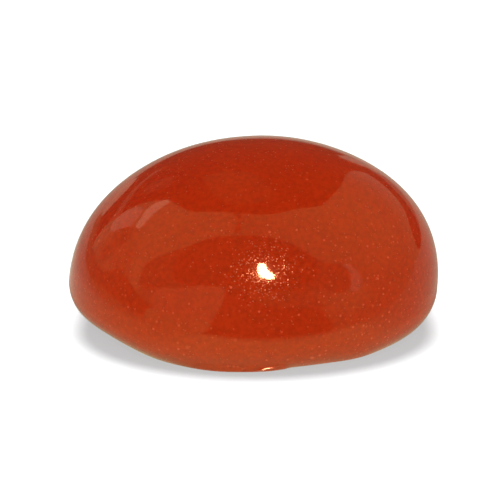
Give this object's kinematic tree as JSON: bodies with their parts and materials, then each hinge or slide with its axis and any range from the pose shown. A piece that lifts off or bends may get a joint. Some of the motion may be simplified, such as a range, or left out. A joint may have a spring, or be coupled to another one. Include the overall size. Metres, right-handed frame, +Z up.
{
  "type": "carnelian cabochon",
  "caption": "Loose polished oval cabochon of translucent orange-red carnelian, with a high smooth dome, a rounded girdle and a flat ground base to rest or be set on.",
  "frame": {"origin": "middle of the stone's footprint, on the plane of its flat base", "axes": "+X along the oval's long axis, +Y towards the back, +Z up from the base to the crown; the front, -Y, has the small lip on the base edge"},
  "size_m": [0.014, 0.0112, 0.0067],
  "materials": {
    "polished_carnelian": "polished"
  },
  "bodies": {
    "root": {"cabochon": "polished_carnelian"}
  },
  "joints": []
}
